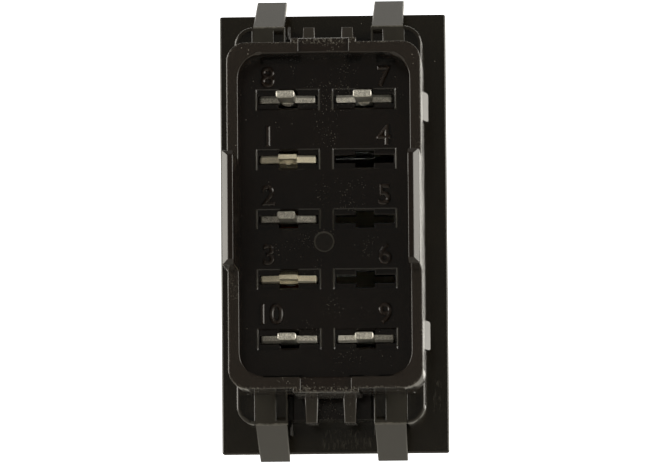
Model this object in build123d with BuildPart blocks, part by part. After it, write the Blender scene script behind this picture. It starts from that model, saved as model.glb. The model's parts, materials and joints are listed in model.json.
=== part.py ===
"""Panel-mount rocker switch: single pole, three positions, two lamps, ten terminal places.

Frame: Z up along the length, Y backwards through the panel, X across.
The origin is the middle of the bezel's rear face, where it seats on the panel.
The rocker faces -Y and the terminals face +Y. Millimetres.
"""

from build123d import *
import os
from math import sqrt

os.makedirs("parts", exist_ok=True)

# ---------------------------------------------------------------- driving dimensions
# Bracket: the bezel in front of the panel and the skirt behind it
bezel_width = 26.0
bezel_length = 50.4
bezel_flat = 1.4  # straight part of the bezel's edge
bezel_slope = 1.2  # sloped part in front of it
bezel_slope_inset = 0.8
bezel_corner = 0.3
skirt_width = 21.1
skirt_length = 44.8
skirt_depth = 13.2
skirt_corner = 2.1
skirt_wall = 1.1
skirt_end_wall = 1.15
well_corner = 1.0
ledge_thickness = 1.6
ledge_relief = 0.5  # how deep the corner pockets of the ledge are
ledge_lip = 0.4
arm_outer = 8.6  # edges of the four arms, from the middle plane
arm_block_inner = 6.15
arm_inner = 4.85
arm_rail = 0.2
arm_groove_depth = 1.0
curb_thickness = 0.27  # thin walls on the bezel, beside the wings
curb_clearance = 0.06  # to the wing as it bends in
curb_height = 5.5
curb_reach = 0.9  # past the end of the skirt
end_wall_thickness = 0.4
end_wall_clearance = 0.1
web_thickness = 0.4  # webs that stiffen the inner edges of the arms
web_front = 6.6
web_lip = 0.6  # how far their front edges reach in front of the base's sills

# Snap wings, sprung leaves that flare forwards from the arms
wing_offset = 6.68
wing_root_width = 3.5
wing_tip_width = 3.4
wing_thickness = 0.9
wing_tip_depth = 4.4
wing_tip_height = 26.3

# Base housing: the tub inside the skirt, the collar behind it and the terminal floor
tub_clearance = 0.1
tub_front = 7.2
tub_length = 37.8
tub_corner = 1.6
tub_wall = 1.2
collar_width = 21.4
collar_length = 38.2
collar_corner = 2.1
collar_inner_corner = 2.75
collar_wall = 1.25
rim_depth = 27.0
floor_depth = 21.0
floor_thickness = 2.6
key_width = 7.2
key_height = 0.45
rim_notch_width = 5.5
rim_notch_depth = 0.25
ear_rise = 10.8
ear_length = 12.4
ear_side_chamfer = 0.65
ear_end_chamfer = 0.5
lug_inner = 11.2  # lug ends, from the middle of the length
lug_outer = 14.4
lug_height = 0.55
lug_front = 14.6
lug_crest = 15.3
lug_rear = 18.0
sill_thickness = 1.0
sill_side_clearance = 0.1
rib_offset = 2.17
rib_root_width = 1.6
rib_end_width = 1.24
rib_end_clearance = 0.1
core_pocket_height = 0.5
core_pocket_depth = 1.6
ejector_radius = 1.1
ejector_depth = 0.1
ejector_place = (0.3, -2.55)
core_pockets = [(4.95, 4.5), (-3.2, 1.6), (-6.7, 2.2)]  # centre and width, across the floor

# Terminal places: two columns of five
column_pitch = 8.49
row_pitch = 6.68
rows = 5
pocket_length = 6.83
pocket_height = 2.1
pocket_depth = 0.5
slit_end_clearance = 0.1
slit_side_clearance = 0.03
keyhole_width = 2.03
keyhole_height = 1.85

# Terminals: blades through the floor
blade_width = 6.3
blade_thickness = 0.8
blade_proud = 0.15
blade_taper = 0.4  # how far the blade's end falls away to each side of the tongue
shoulder_width = 7.1
shoulder_height = 1.0
tongue_width = 2.0
tongue_length = 5.85
tongue_corner = 0.25
tongue_chamfer = 0.08
bead_radius = 0.75
bead_sunk = 0.15  # below the face of the floor
bead_height = 0.9
lamp_blade_rise = 1.8  # above the inner side of the floor
short_tongue_length = 1.5
short_tongue_thickness = 0.48
throat_depth = 1.6  # how far the blade's end is cut down below the short tongue
throat_bead_radius = 0.55
throat_bead_height = 0.8
foot_thickness = 0.8
foot_width = 4.4
foot_length = 3.2

# Contacts
contact_arm = 5.6
button_radius = 1.45
button_thickness = 0.7
teeter_width = 4.4
teeter_thickness = 0.7
teeter_half_length = 7.2
teeter_flat_half = 1.0
teeter_knee = 3.6
teeter_dip = 0.6
contact_gap = 1.0
cradle_gap = 0.07
cradle_side_gap = 0.1
cradle_ear_rise = 1.4

# Rocker: the cover, the lever that carries it and its pivot
pivot_depth = 2.5
pivot_radius = 1.5
pivot_clearance = 0.05
pivot_end_clearance = 0.2
rocker_clearance = 0.35  # to the well, at the sides and at the ends
cover_front_end = 6.5  # in front of the panel face, at the ends
cover_front_middle = 5.2
cover_rear = 2.0
cover_wall = 1.4
cover_side_wall = 1.2
cover_edge = 0.5
notch_clearance = 0.2
cover_rib_offset = 5.0
cover_rib_width = 1.2
lever_width = 15.2
lever_half_length = 6.5
lever_corner = 1.0
lever_front = 1.2
lever_rear = 1.4
cheek_radius = 3.0
cheek_width = 1.8
stem_radius = 2.7
stem_rear = 12.5
bore_radius = 1.55
bore_front = 3.8
plunger_radius = 1.475
plunger_head = 9.0
plunger_gap = 0.1
spring_mean_radius = 1.15
spring_wire = 0.4
spring_wire_sides = 6
spring_turns = 4

# Lenses and lamps
lens_offset = 11.0
lens_width = 7.4
lens_height = 2.4
lens_clearance = 0.1
lens_flange = 0.9
lens_rear = 2.6
lens_seat_gap = 0.04
lamp_radius = 1.5
lamp_length = 5.3
lamp_flange_radius = 1.8
lamp_flange = 0.8
lamp_rear = 14.0
lead_pitch = 2.54
lead_thickness = 0.4

# ---------------------------------------------------------------- sizes that follow
well_width = skirt_width - 2 * skirt_wall
well_length = skirt_length - 2 * skirt_end_wall
tub_width = well_width - 2 * tub_clearance
seat_length = tub_length + 2 * tub_clearance
bezel_thickness = bezel_flat + bezel_slope
inner_floor = floor_depth - floor_thickness
collar_inner_width = collar_width - 2 * collar_wall
collar_inner_length = collar_length - 2 * collar_wall
column = column_pitch / 2
cover_width = well_width - 2 * rocker_clearance
cover_radius = well_length / 2 - rocker_clearance
blade_end = floor_depth + blade_proud
fixed_face = inner_floor - foot_thickness - button_thickness
moving_face = fixed_face - contact_gap
teeter_rear = moving_face - button_thickness
teeter_front = teeter_rear - teeter_thickness
cradle_top = teeter_rear + teeter_dip + cradle_gap
lamp_row = 2 * row_pitch
lamp_blade_top = inner_floor - lamp_blade_rise


def across(depth):
    """A plane square to the depth: sketch x is X, sketch y is Z, and rearwards is a negative extrusion."""
    return Plane.XZ.offset(-depth)


def place(side, row):
    """The plane of one terminal place, with sketch x along X and sketch y along the depth."""
    return Plane(origin=(side * column, 0, row * row_pitch), x_dir=(1, 0, 0), z_dir=(0, 0, 1))


def save(name, part):
    part.label = name
    export_step(part, f"parts/{name}.step")


# ---------------------------------------------------------------- bracket
with BuildPart() as bracket:
    # Bezel, flat at the back and sloped towards the front
    with BuildSketch(across(-bezel_flat)):
        RectangleRounded(bezel_width, bezel_length, bezel_corner)
    extrude(amount=-bezel_flat)
    with BuildSketch(across(-bezel_flat)):
        RectangleRounded(bezel_width, bezel_length, bezel_corner)
    with BuildSketch(across(-bezel_thickness)):
        RectangleRounded(
            bezel_width - 2 * bezel_slope_inset,
            bezel_length - 2 * bezel_slope_inset,
            bezel_corner,
        )
    loft()
    # Skirt
    with BuildSketch(across(0)):
        RectangleRounded(skirt_width, skirt_length, skirt_corner)
    extrude(amount=-skirt_depth)
    # Well for the rocker, closed at its ends by the ledges
    with BuildSketch(across(-bezel_thickness)):
        RectangleRounded(well_width, well_length, well_corner)
    extrude(amount=-(bezel_thickness + skirt_depth - ledge_thickness), mode=Mode.SUBTRACT)
    with BuildSketch(across(skirt_depth - ledge_thickness)):
        Rectangle(well_width, seat_length)
    extrude(amount=-ledge_thickness, mode=Mode.SUBTRACT)
    # Ends left open between the arms, and behind the wings so that these can bend in
    with BuildSketch(across(0)):
        Rectangle(2 * arm_outer, 2 * skirt_length)
        Rectangle(2 * arm_outer, well_length, mode=Mode.SUBTRACT)
    extrude(amount=-(skirt_depth - ledge_thickness), mode=Mode.SUBTRACT)
    with BuildSketch(across(0)):
        Rectangle(2 * arm_inner, 2 * skirt_length)
    extrude(amount=-skirt_depth, mode=Mode.SUBTRACT)
    # Low walls on the bezel: a curb inside each wing, and an end wall between two curbs
    curb_outer = wing_offset - wing_root_width / 2 - curb_clearance
    curb_inner = curb_outer - curb_thickness
    curb_middle = (curb_outer + curb_inner) / 2
    curb_end = skirt_length / 2 + curb_reach
    end_wall_end = well_length / 2 + end_wall_thickness
    with BuildSketch(across(0)):
        for end in (-1, 1):
            for side in (-1, 1):
                with Locations((side * curb_middle, end * (well_length / 2 + curb_end) / 2)):
                    Rectangle(curb_thickness, curb_end - well_length / 2)
    extrude(amount=-curb_height)
    with BuildSketch(across(0)):
        Rectangle(2 * curb_middle, 2 * end_wall_end)
        Rectangle(2 * curb_middle, well_length, mode=Mode.SUBTRACT)
    extrude(amount=-(tub_front - end_wall_clearance))
    # Webs in front of the arms' inner edges, with lips that the sills of the base sit behind
    web_length = end_wall_end - seat_length / 2
    web_places = [
        (side * (arm_inner + web_thickness / 2), end * (end_wall_end - web_length / 2))
        for side in (-1, 1)
        for end in (-1, 1)
    ]
    with BuildSketch(across(web_front)):
        with Locations(web_places):
            Rectangle(web_thickness, web_length)
    extrude(amount=-(skirt_depth - ledge_thickness - web_front))
    with BuildSketch(across(web_front)):
        with Locations(web_places):
            Rectangle(web_thickness + 2 * web_lip, web_length)
    extrude(amount=-(tub_front - end_wall_clearance - web_front))
    # Relief of the ledges: a pocket in each corner and a groove in each arm
    with BuildSketch(across(skirt_depth)):
        RectangleRounded(
            skirt_width - 2 * ledge_lip, skirt_length - 2 * ledge_lip, skirt_corner - ledge_lip
        )
        Rectangle(2 * arm_outer, skirt_length, mode=Mode.SUBTRACT)
        Rectangle(skirt_width, collar_length, mode=Mode.SUBTRACT)
    extrude(amount=ledge_relief, mode=Mode.SUBTRACT)
    groove_width = arm_block_inner - arm_inner - arm_rail
    groove_middle = (arm_block_inner + arm_inner + arm_rail) / 2
    with BuildSketch(across(skirt_depth)):
        for side in (-1, 1):
            with Locations((side * groove_middle, 0)):
                Rectangle(groove_width, skirt_length - 2 * ledge_lip)
        Rectangle(skirt_width, seat_length, mode=Mode.SUBTRACT)
    extrude(amount=arm_groove_depth, mode=Mode.SUBTRACT)
    # Wings
    run = skirt_depth - wing_tip_depth
    rise = wing_tip_height - skirt_length / 2
    wing_length = sqrt(run**2 + rise**2)
    for side in (-1, 1):
        for end in (-1, 1):
            leaf = Plane(
                origin=(side * wing_offset, skirt_depth, end * skirt_length / 2),
                x_dir=(1, 0, 0),
                z_dir=(0, rise, end * run),
            )
            with BuildSketch(leaf):
                with BuildLine():
                    Polyline(
                        (-wing_root_width / 2, 0),
                        (wing_root_width / 2, 0),
                        (wing_tip_width / 2, -end * wing_length),
                        (-wing_tip_width / 2, -end * wing_length),
                        close=True,
                    )
                make_face()
            extrude(amount=-wing_thickness)
    # Pivot bores
    with BuildSketch(Plane.YZ):
        with Locations((pivot_depth, 0)):
            Circle(pivot_radius + pivot_clearance)
    extrude(amount=skirt_width, both=True, mode=Mode.SUBTRACT)
save("bracket", bracket.part)

# ---------------------------------------------------------------- base housing
with BuildPart() as base_housing:
    # Tub inside the skirt
    with BuildSketch(across(tub_front)):
        RectangleRounded(tub_width, tub_length, tub_corner)
    extrude(amount=-(skirt_depth - tub_front))
    # Collar behind it, with a key at each end
    with BuildSketch(across(skirt_depth)):
        RectangleRounded(collar_width, collar_length, collar_corner)
        Rectangle(key_width, collar_length + 2 * key_height)
    extrude(amount=-(rim_depth - skirt_depth))
    # Mechanism space, open to the front
    with BuildSketch(across(tub_front)):
        RectangleRounded(tub_width - 2 * tub_wall, tub_length - 2 * tub_wall, tub_corner)
    extrude(amount=-(inner_floor - tub_front), mode=Mode.SUBTRACT)
    # Connector space, open to the rear
    with BuildSketch(across(floor_depth)):
        RectangleRounded(collar_inner_width, collar_inner_length, collar_inner_corner)
    extrude(amount=-(rim_depth - floor_depth), mode=Mode.SUBTRACT)
    # Shallow notch across the rim at each key
    with BuildSketch(across(rim_depth)):
        Rectangle(rim_notch_width, 2 * collar_length)
        Rectangle(rim_notch_width, collar_inner_length, mode=Mode.SUBTRACT)
    extrude(amount=rim_notch_depth, mode=Mode.SUBTRACT)
    # Sills that close the open ends of the bracket, with two ribs on each
    rib_end = skirt_length / 2 - rib_end_clearance
    rib_root = tub_length / 2 - tub_wall / 2
    sill_width = 2 * (curb_inner - sill_side_clearance)
    with BuildSketch(across(tub_front)):
        Rectangle(sill_width, 2 * end_wall_end)
        Rectangle(sill_width, 2 * rib_root, mode=Mode.SUBTRACT)
    extrude(amount=-sill_thickness)
    with BuildSketch(across(tub_front)):
        for end in (-1, 1):
            for side in (-1, 1):
                with BuildLine():
                    Polyline(
                        (side * rib_offset - rib_root_width / 2, end * rib_root),
                        (side * rib_offset - rib_end_width / 2, end * rib_end),
                        (side * rib_offset + rib_end_width / 2, end * rib_end),
                        (side * rib_offset + rib_root_width / 2, end * rib_root),
                        close=True,
                    )
                make_face()
    extrude(amount=-(skirt_depth - tub_front))
    # Ears: the long walls run on past the rim in the middle
    ear_outer = collar_width / 2
    ear_inner = collar_inner_width / 2
    ear_top = rim_depth + ear_rise
    with BuildSketch(Plane.XY):
        with BuildLine():
            Polyline(
                (ear_inner, floor_depth),
                (ear_inner, ear_top),
                (ear_outer - ear_side_chamfer, ear_top),
                (ear_outer, ear_top - ear_side_chamfer),
                (ear_outer, floor_depth),
                close=True,
            )
        make_face()
        mirror(about=Plane.YZ)
    extrude(amount=ear_length / 2, both=True)
    ear_tops = base_housing.faces().filter_by(Axis.Y).group_by(Axis.Y)[-1]
    chamfer(ear_tops.edges().filter_by(Axis.X), length=ear_end_chamfer)
    # Lugs low on the long walls
    lug_length = lug_outer - lug_inner
    for end in (-1, 1):
        with BuildSketch(Plane.XY.offset(end * (lug_inner + lug_outer) / 2)):
            with BuildLine():
                Polyline(
                    (ear_outer - lug_height, lug_front),
                    (ear_outer + lug_height, lug_front),
                    (ear_outer + lug_height, lug_crest),
                    (ear_outer, lug_rear),
                    (ear_outer - lug_height, lug_rear),
                    close=True,
                )
            make_face()
            mirror(about=Plane.YZ)
        extrude(amount=lug_length / 2, both=True)
    # Terminal places: a shallow pocket, with a slit and a keyhole through the floor
    with BuildSketch(across(floor_depth)):
        with GridLocations(column_pitch, row_pitch, 2, rows):
            Rectangle(pocket_length, pocket_height)
    extrude(amount=pocket_depth, mode=Mode.SUBTRACT)
    with BuildSketch(across(floor_depth)):
        with GridLocations(column_pitch, row_pitch, 2, rows):
            Rectangle(keyhole_width, keyhole_height)
            Rectangle(
                blade_width + 2 * slit_end_clearance, blade_thickness + 2 * slit_side_clearance
            )
    extrude(amount=floor_thickness, mode=Mode.SUBTRACT)
    # Round mark of an ejector pin in the floor
    with BuildSketch(across(floor_depth)):
        with Locations(ejector_place):
            Circle(ejector_radius)
    extrude(amount=ejector_depth, mode=Mode.SUBTRACT)
    # Core pockets in the floor, along the two end walls
    core_middle = (collar_inner_length - core_pocket_height) / 2
    with BuildSketch(across(floor_depth)):
        for end in (-1, 1):
            for middle, width in core_pockets:
                with Locations((middle, end * core_middle)):
                    Rectangle(width, core_pocket_height)
    extrude(amount=core_pocket_depth, mode=Mode.SUBTRACT)
save("base_housing", base_housing.part)


# ---------------------------------------------------------------- terminals
def blade_outline(root):
    """A blade's flat shape, from its inner end to its outer end, which falls away beside the tongue."""
    half = blade_width / 2
    with BuildSketch() as outline:
        with BuildLine():
            Polyline(
                (-half, root),
                (-half, blade_end - blade_taper),
                (-tongue_width / 2, blade_end),
                (tongue_width / 2, blade_end),
                (half, blade_end - blade_taper),
                (half, root),
                close=True,
            )
        make_face()
    return outline.sketch


def long_terminal(side, row, root, bead=False, cradle=False):
    """A blade with shoulders on the inner floor and a narrow tongue that reaches the rim."""
    with BuildPart() as terminal:
        with BuildSketch(place(side, row)):
            add(blade_outline(root))
            with Locations((0, inner_floor - shoulder_height / 2)):
                Rectangle(shoulder_width, shoulder_height)
            if cradle:
                # Ears that keep the moving contact from sliding off sideways
                cradle_inner = teeter_width / 2 + cradle_side_gap
                for ear, inward in ((-1, Align.MIN), (1, Align.MAX)):
                    with Locations((ear * blade_width / 2, root)):
                        Rectangle(
                            blade_width / 2 - cradle_inner,
                            cradle_ear_rise,
                            align=(inward, Align.MAX),
                        )
            with Locations((0, blade_end + tongue_length / 2)):
                Rectangle(tongue_width, tongue_length)
        extrude(amount=blade_thickness / 2, both=True)
        tongue_edges = terminal.edges().filter_by(Axis.Y).group_by(Axis.Y)[-1]
        fillet(tongue_edges, radius=tongue_corner)
        chamfer(terminal.faces().sort_by(Axis.Y)[-1].edges(), length=tongue_chamfer)
        if bead:
            # Half-round bead pressed out of the lower face, in the keyhole
            with BuildSketch(across(floor_depth - bead_sunk)):
                with Locations((side * column, row * row_pitch)):
                    Circle(bead_radius)
                    Rectangle(
                        2 * bead_radius,
                        bead_radius,
                        align=(Align.CENTER, Align.MIN),
                        mode=Mode.SUBTRACT,
                    )
            extrude(amount=bead_height)
    return terminal.part


for number, side, row, bead in (
    (8, 1, 2, True),
    (7, -1, 2, True),
    (10, 1, -2, False),
    (9, -1, -2, False),
):
    save(f"terminal_{number}", long_terminal(side, row, lamp_blade_top, bead=bead))
save("terminal_2", long_terminal(1, 0, cradle_top, cradle=True))


def throw_terminal(row, bead):
    """A blade with a foot on the inner floor that carries the fixed contact, and a short thin tongue."""
    with BuildPart() as terminal:
        with BuildSketch(place(1, row)):
            add(blade_outline(inner_floor - foot_thickness))
        extrude(amount=blade_thickness / 2, both=True)
        foot_end = row * (row_pitch + blade_thickness / 2)
        with BuildSketch(across(inner_floor - foot_thickness)):
            with Locations((column, foot_end - row * foot_length / 2)):
                Rectangle(foot_width, foot_length)
        extrude(amount=-foot_thickness)
        # Throat in the middle of the end, with the short tongue along its upper side
        with BuildSketch(across(blade_end)):
            with Locations((column, row * row_pitch)):
                Rectangle(tongue_width, blade_thickness)
        extrude(amount=throat_depth, mode=Mode.SUBTRACT)
        tongue_middle = row * row_pitch + (blade_thickness - short_tongue_thickness) / 2
        with BuildSketch(across(blade_end + short_tongue_length)):
            with Locations((column, tongue_middle)):
                Rectangle(tongue_width, short_tongue_thickness)
        extrude(amount=short_tongue_length + throat_depth)
        if bead:
            # Half-round bead at the bottom of the throat
            with BuildSketch(across(blade_end - throat_depth + throat_bead_height)):
                with Locations((column, row * row_pitch)):
                    Circle(throat_bead_radius)
                    Rectangle(
                        2 * throat_bead_radius,
                        throat_bead_radius,
                        align=(Align.CENTER, Align.MIN),
                        mode=Mode.SUBTRACT,
                    )
            extrude(amount=2 * throat_bead_height)
    return terminal.part


for number, row, bead in ((1, 1, True), (3, -1, False)):
    save(f"terminal_{number}", throw_terminal(row, bead))

# ---------------------------------------------------------------- contacts
for number, row in ((1, 1), (3, -1)):
    with BuildPart() as fixed_contact:
        with BuildSketch(across(fixed_face)):
            with Locations((column, row * contact_arm)):
                Circle(button_radius)
        extrude(amount=-button_thickness)
    save(f"fixed_contact_{number}", fixed_contact.part)

    with BuildPart() as moving_contact:
        with BuildSketch(across(teeter_rear)):
            with Locations((column, row * contact_arm)):
                Circle(button_radius)
        extrude(amount=-button_thickness)
    save(f"moving_contact_{number}", moving_contact.part)

with BuildPart() as teeter:
    with BuildSketch(Plane.YZ.offset(column)):
        with BuildLine():
            Polyline(
                (teeter_front, -teeter_half_length),
                (teeter_front, -teeter_knee),
                (teeter_front + teeter_dip, -teeter_flat_half),
                (teeter_front + teeter_dip, teeter_flat_half),
                (teeter_front, teeter_knee),
                (teeter_front, teeter_half_length),
                (teeter_rear, teeter_half_length),
                (teeter_rear, teeter_knee),
                (teeter_rear + teeter_dip, teeter_flat_half),
                (teeter_rear + teeter_dip, -teeter_flat_half),
                (teeter_rear, -teeter_knee),
                (teeter_rear, -teeter_half_length),
                close=True,
            )
        make_face()
    extrude(amount=teeter_width / 2, both=True)
save("teeter", teeter.part)


# ---------------------------------------------------------------- rocker
def cover_outline(inset):
    """The rocker's side view, dished in front and with ends round the pivot, drawn smaller by inset."""
    radius = cover_radius - inset
    front_end = -cover_front_end + inset
    front_middle = -cover_front_middle + inset

    def end_height(depth):
        return sqrt(radius**2 - (depth - pivot_depth) ** 2)

    middle = (front_end + cover_rear) / 2
    with BuildSketch() as outline:
        with BuildLine():
            ThreePointArc(
                (front_end, -end_height(front_end)),
                (front_middle, 0),
                (front_end, end_height(front_end)),
            )
            ThreePointArc(
                (front_end, end_height(front_end)),
                (middle, end_height(middle)),
                (cover_rear, end_height(cover_rear)),
            )
            Line((cover_rear, end_height(cover_rear)), (cover_rear, -end_height(cover_rear)))
            ThreePointArc(
                (cover_rear, -end_height(cover_rear)),
                (middle, -end_height(middle)),
                (front_end, -end_height(front_end)),
            )
        make_face()
    return outline.sketch


with BuildPart() as rocker_cover:
    with BuildSketch(Plane.YZ):
        add(cover_outline(0))
    extrude(amount=cover_width / 2, both=True)
    fillet(rocker_cover.faces().sort_by(Axis.Y)[0].edges(), radius=cover_edge)
    with BuildSketch(Plane.YZ):
        add(cover_outline(cover_wall))
    extrude(amount=cover_width / 2 - cover_side_wall, both=True, mode=Mode.SUBTRACT)
    # Ribs that press on the lever
    rib_depth = cover_front_middle - cover_wall / 2 - lever_front
    with BuildSketch(across(-lever_front)):
        with GridLocations(0, 2 * cover_rib_offset, 1, 2):
            Rectangle(cover_width - cover_side_wall, cover_rib_width)
    extrude(amount=rib_depth)
    # Notches over the pivot
    with BuildSketch(Plane.YZ):
        with Locations((pivot_depth, 0)):
            Circle(pivot_radius + notch_clearance)
    extrude(amount=cover_width, both=True, mode=Mode.SUBTRACT)
    # Windows for the lenses
    with BuildSketch(across(-cover_front_end)):
        with GridLocations(0, 2 * lens_offset, 1, 2):
            Rectangle(lens_width + 2 * lens_clearance, lens_height + 2 * lens_clearance)
    extrude(amount=-2 * cover_wall, mode=Mode.SUBTRACT)
save("rocker_cover", rocker_cover.part)

for name, end in (("upper_lens", 1), ("lower_lens", -1)):
    with BuildPart() as lens:
        with BuildSketch(Plane.YZ):
            add(cover_outline(0))
            with Locations((-lens_rear - cover_front_end / 2, end * lens_offset)):
                Rectangle(cover_front_end, lens_height, mode=Mode.INTERSECT)
        extrude(amount=lens_width / 2, both=True)
        # Flange behind the window
        with BuildSketch(Plane.YZ):
            add(cover_outline(cover_wall + lens_seat_gap))
            with Locations((-lens_rear - cover_front_end / 2, end * lens_offset)):
                Rectangle(cover_front_end, lens_height + 2 * lens_flange, mode=Mode.INTERSECT)
        extrude(amount=lens_width / 2 + lens_flange, both=True)
    save(name, lens.part)

with BuildPart() as pivot_lever:
    with BuildSketch(across(-lever_front)):
        RectangleRounded(lever_width, 2 * lever_half_length, lever_corner)
    extrude(amount=-(lever_front + lever_rear))
    # Cheeks and pivots
    trunnion_end = skirt_width / 2 - pivot_end_clearance
    for side in (-1, 1):
        with BuildSketch(Plane.YZ.offset(side * (lever_width / 2 - cheek_width / 2))):
            with Locations((pivot_depth, 0)):
                Circle(cheek_radius)
        extrude(amount=cheek_width / 2, both=True)
        with BuildSketch(Plane.YZ.offset(side * (lever_width / 2 - cheek_width))):
            with Locations((pivot_depth, 0)):
                Circle(pivot_radius)
        extrude(amount=side * (trunnion_end - lever_width / 2 + cheek_width))
    # Stem over the moving contact, bored for the spring and the plunger
    with BuildSketch(across(lever_rear)):
        with Locations((column, 0)):
            Circle(stem_radius)
    extrude(amount=-(stem_rear - lever_rear))
    with BuildSketch(across(bore_front)):
        with Locations((column, 0)):
            Circle(bore_radius)
    extrude(amount=-(stem_rear - bore_front), mode=Mode.SUBTRACT)
save("pivot_lever", pivot_lever.part)

with BuildPart() as plunger:
    plunger_tip = teeter_front + teeter_dip - plunger_gap
    shaft_end = plunger_tip - plunger_radius
    with BuildSketch(Plane.YZ.offset(column)):
        with BuildLine():
            Line((plunger_head, 0), (plunger_head, plunger_radius))
            Line((plunger_head, plunger_radius), (shaft_end, plunger_radius))
            RadiusArc((shaft_end, plunger_radius), (plunger_tip, 0), plunger_radius)
            Line((plunger_tip, 0), (plunger_head, 0))
        make_face()
    revolve(axis=Axis((column, 0, 0), (0, 1, 0)))
save("plunger", plunger.part)

with BuildPart() as plunger_spring:
    spring_front = bore_front + spring_wire / 2
    spring_rear = plunger_head - spring_wire / 2
    spring_height = spring_rear - spring_front
    with BuildLine() as coil:
        Helix(
            pitch=spring_height / spring_turns,
            height=spring_height,
            radius=spring_mean_radius,
            center=(column, spring_front, 0),
            direction=(0, 1, 0),
        )
    with BuildSketch(Plane(origin=coil.line @ 0, z_dir=coil.line % 0)):
        RegularPolygon(spring_wire / 2, spring_wire_sides)
    sweep(path=coil.line)
save("plunger_spring", plunger_spring.part)

# ---------------------------------------------------------------- lamps
for name, end, numbers in (("upper", 1, (8, 7)), ("lower", -1, (10, 9))):
    with BuildPart() as lamp:
        lamp_front = lamp_rear - lamp_length
        flange_front = lamp_rear - lamp_flange
        lamp_plane = Plane.YZ.shift_origin((0, 0, end * lamp_row))
        with BuildSketch(lamp_plane):
            with BuildLine():
                RadiusArc(
                    (lamp_front, 0), (lamp_front + lamp_radius, lamp_radius), lamp_radius
                )
                Polyline(
                    (lamp_front + lamp_radius, lamp_radius),
                    (flange_front, lamp_radius),
                    (flange_front, lamp_flange_radius),
                    (lamp_rear, lamp_flange_radius),
                    (lamp_rear, 0),
                    (lamp_front, 0),
                )
            make_face()
        revolve(axis=Axis((0, 0, end * lamp_row), (0, 1, 0)))
    save(f"{name}_lamp", lamp.part)

    for number, side in zip(numbers, (1, -1)):
        with BuildPart() as lead:
            with BuildSketch(across(lamp_rear)):
                with Locations((side * lead_pitch / 2, end * lamp_row)):
                    Rectangle(lead_thickness, lead_thickness)
            extrude(amount=-(lamp_blade_top - lamp_rear))
        save(f"lamp_lead_{number}", lead.part)
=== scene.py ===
"""Looks of a panel-mount rocker switch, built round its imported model.

The switch shows its back: bezel, skirt with four snap wings, collared base with two ears,
ten terminal places and seven terminals. Metres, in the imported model's own frame:
Z up along the length, Y backwards to the terminals, X across.
"""

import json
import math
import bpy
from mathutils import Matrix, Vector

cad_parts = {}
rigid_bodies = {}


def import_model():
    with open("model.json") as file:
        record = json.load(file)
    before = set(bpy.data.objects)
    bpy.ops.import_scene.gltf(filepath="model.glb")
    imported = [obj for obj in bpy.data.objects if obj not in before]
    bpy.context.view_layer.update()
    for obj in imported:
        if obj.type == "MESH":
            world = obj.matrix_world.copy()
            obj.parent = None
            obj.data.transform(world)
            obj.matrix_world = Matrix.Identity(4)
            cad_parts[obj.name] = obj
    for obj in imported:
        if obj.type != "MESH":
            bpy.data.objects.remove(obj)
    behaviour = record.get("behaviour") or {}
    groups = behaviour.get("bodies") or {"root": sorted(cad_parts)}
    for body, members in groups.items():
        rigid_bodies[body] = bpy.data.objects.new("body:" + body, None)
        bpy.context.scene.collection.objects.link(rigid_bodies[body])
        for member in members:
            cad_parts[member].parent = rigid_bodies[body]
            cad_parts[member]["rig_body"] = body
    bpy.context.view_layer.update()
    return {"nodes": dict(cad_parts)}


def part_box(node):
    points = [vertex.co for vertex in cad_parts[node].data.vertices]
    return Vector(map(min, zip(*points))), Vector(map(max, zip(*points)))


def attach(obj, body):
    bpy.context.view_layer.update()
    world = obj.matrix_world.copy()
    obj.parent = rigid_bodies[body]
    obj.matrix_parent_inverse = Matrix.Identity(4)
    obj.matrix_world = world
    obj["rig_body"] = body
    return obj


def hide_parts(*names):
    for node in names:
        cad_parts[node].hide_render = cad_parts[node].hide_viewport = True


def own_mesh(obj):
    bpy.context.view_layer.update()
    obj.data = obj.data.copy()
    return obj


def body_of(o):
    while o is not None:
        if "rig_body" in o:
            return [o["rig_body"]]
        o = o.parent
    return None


bl_info = {
    "name": "Rocker Switch",
    "version": (1, 0, 0),
    "blender": (4, 5, 0),
    "location": "View3D > Sidebar > Switch",
    "description": "Mouldings, terminals and mechanism of a panel-mount rocker switch, and its stage",
    "category": "Object",
}

from functools import partial
from types import SimpleNamespace

import bmesh
import bpy
from bpy.props import FloatProperty, FloatVectorProperty, PointerProperty
from bpy.types import NodeSocket, Operator, Panel, PropertyGroup
from mathutils import Matrix, Vector
from mathutils.kdtree import KDTree

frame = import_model()
NODES = frame["nodes"]
PLACE_LOW, PLACE_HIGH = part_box("terminal_8")
MM = 0.001
TINY = 0.01 * MM

# Levels and outlines that the shapes below refer to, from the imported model
SKIRT_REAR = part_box("bracket")[1].y
SKIRT_SIDE = 10.55 * MM
SKIRT_END = 22.4 * MM
SKIRT_CORNER = 2.1 * MM
ARM_INNER = 4.85 * MM
ARM_BLOCK = 6.15 * MM
ARM_OUTER = 8.6 * MM
PACKED_GROOVE = 1.0 * MM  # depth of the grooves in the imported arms
GROOVE_DEPTH = 0.4 * MM  # and in the finished ones
WING_SLOPE = 8.8 / 3.9  # how far a wing reaches forwards for each step up
CURB_TOP = 5.5 * MM
CURB_SIDE = 4.95 * MM  # the curbs lie within this of the middle
RIM = PLACE_HIGH.y  # the long tongues end level with the rim of the base
RIM_NOTCH = 0.3 * MM  # the notches in the rim aren't as deep as this
FLOOR = RIM - 6.0 * MM
COLUMN = (PLACE_LOW.x + PLACE_HIGH.x) / 2  # from the middle to a column of terminals
ROW = (PLACE_LOW.z + PLACE_HIGH.z) / 4  # from one row of terminals to the next
COLLAR_SIDE = 10.7 * MM
COLLAR_END = 19.1 * MM
COLLAR_CORNER = 2.1 * MM
EAR_END = 6.2 * MM
LUG_RISE = 0.55 * MM  # how far the lugs stand out from the collar
RIBS_SIDE = 3 * MM  # the ribs lie within this of the middle, and further up or down than the next
RIBS_FROM = 19.5 * MM
SILL_REAR = 8.2 * MM
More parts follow.
